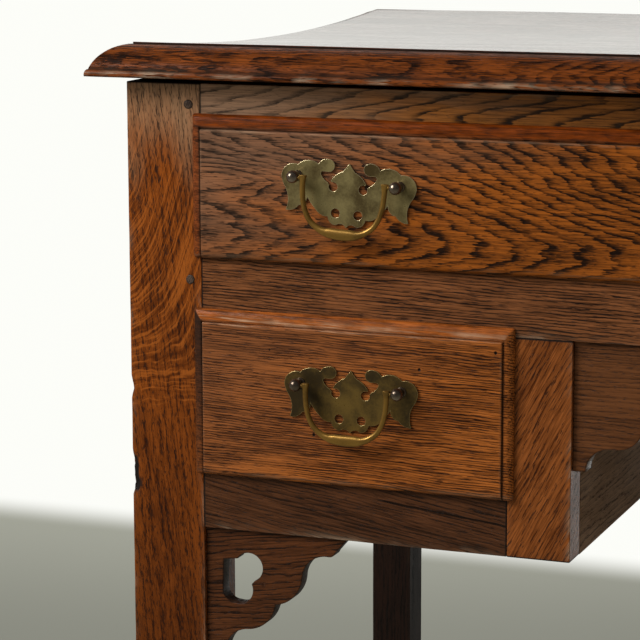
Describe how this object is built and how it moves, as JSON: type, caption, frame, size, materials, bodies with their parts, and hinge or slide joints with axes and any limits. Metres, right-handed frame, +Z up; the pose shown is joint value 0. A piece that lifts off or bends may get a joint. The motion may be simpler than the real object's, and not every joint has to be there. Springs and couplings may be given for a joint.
{
  "type": "lowboy",
  "caption": "Oak lowboy: moulded cupped top, long lipped drawer over two deep short drawers beside a kneehole, square legs, pierced brackets, brass bail handles.",
  "frame": {"origin": "on the floor, under the middle of the outer box", "axes": "+X to the right seen from the front, +Y to the back, +Z up; the drawers open towards -Y"},
  "size_m": [0.82, 0.489, 0.7098],
  "materials": {
    "frame_oak": "dark brown waxed oak, worn to red-brown at the arrises",
    "front_oak": "brown waxed oak with a grey patina",
    "top_oak": "brown waxed oak, semi-gloss",
    "inner_oak": "dry, unpolished old oak",
    "peg_oak": "dark end grain",
    "plate_brass": "antique brass with worn bright edges",
    "bail_brass": "yellow brass, rubbed bright",
    "post_bronze": "dark toned brass",
    "nut_iron": "rusty wrought iron"
  },
  "bodies": {
    "carcass": {"back_board": "frame_oak", "bottom_rail_left": "frame_oak", "bottom_rail_right": "frame_oak", "bracket_left": "frame_oak", "bracket_right": "frame_oak", "frame_pegs": "peg_oak", "front_leg_left": "frame_oak", "front_leg_right": "frame_oak", "front_mid_rail": "frame_oak", "front_top_rail": "frame_oak", "kneehole_apron": "frame_oak", "lower_guides": "inner_oak", "lower_runners": "inner_oak", "partition_left": "inner_oak", "partition_right": "inner_oak", "rear_leg_left": "frame_oak", "rear_leg_right": "frame_oak", "side_board_left": "frame_oak", "side_board_right": "frame_oak", "stile_left": "frame_oak", "stile_right": "frame_oak", "top_blocks": "inner_oak", "top_board": "top_oak", "upper_guides": "inner_oak", "upper_kickers": "inner_oak", "upper_runners": "inner_oak"},
    "long_drawer": {"back_plate_upper_left": "plate_brass", "back_plate_upper_right": "plate_brass", "handle_nuts_upper_left": "nut_iron", "handle_nuts_upper_right": "nut_iron", "handle_posts_upper_left": "post_bronze", "handle_posts_upper_right": "post_bronze", "long_drawer_back": "inner_oak", "long_drawer_bottom": "inner_oak", "long_drawer_front": "front_oak", "long_drawer_side_left": "inner_oak", "long_drawer_side_right": "inner_oak"},
    "left_drawer": {"back_plate_lower_left": "plate_brass", "handle_nuts_lower_left": "nut_iron", "handle_posts_lower_left": "post_bronze", "left_drawer_back": "inner_oak", "left_drawer_bottom": "inner_oak", "left_drawer_front": "front_oak", "left_drawer_side_left": "inner_oak", "left_drawer_side_right": "inner_oak"},
    "right_drawer": {"back_plate_lower_right": "plate_brass", "handle_nuts_lower_right": "nut_iron", "handle_posts_lower_right": "post_bronze", "right_drawer_back": "inner_oak", "right_drawer_bottom": "inner_oak", "right_drawer_front": "front_oak", "right_drawer_side_left": "inner_oak", "right_drawer_side_right": "inner_oak"},
    "bail_body_upper_left": {"bail_upper_left": "bail_brass"},
    "bail_body_upper_right": {"bail_upper_right": "bail_brass"},
    "bail_body_lower_left": {"bail_lower_left": "bail_brass"},
    "bail_body_lower_right": {"bail_lower_right": "bail_brass"}
  },
  "joints": [
    {"name": "long_drawer_slide", "type": "slide", "parent": "carcass", "child": "long_drawer", "axis": [0, -1, 0], "range_m": [0, 0.32]},
    {"name": "left_drawer_slide", "type": "slide", "parent": "carcass", "child": "left_drawer", "axis": [0, -1, 0], "range_m": [0, 0.32]},
    {"name": "right_drawer_slide", "type": "slide", "parent": "carcass", "child": "right_drawer", "axis": [0, -1, 0], "range_m": [0, 0.32]},
    {"name": "bail_hinge_upper_left", "type": "hinge", "parent": "long_drawer", "child": "bail_body_upper_left", "pos_m": [-0.23859, -0.239, 0.62957], "axis": [-0.9979, 0, 0.0645], "range_deg": [-10, 170]},
    {"name": "bail_hinge_upper_right", "type": "hinge", "parent": "long_drawer", "child": "bail_body_upper_right", "pos_m": [0.2394, -0.239, 0.6296], "axis": [-1, 0, 0], "range_deg": [-10, 170]},
    {"name": "bail_hinge_lower_left", "type": "hinge", "parent": "left_drawer", "child": "bail_body_lower_left", "pos_m": [-0.23743, -0.239, 0.5019], "axis": [-0.9998, 0, 0.0175], "range_deg": [-10, 170]},
    {"name": "bail_hinge_lower_right", "type": "hinge", "parent": "right_drawer", "child": "bail_body_lower_right", "pos_m": [0.23765, -0.239, 0.5019], "axis": [-1, 0, 0], "range_deg": [-10, 170]}
  ]
}
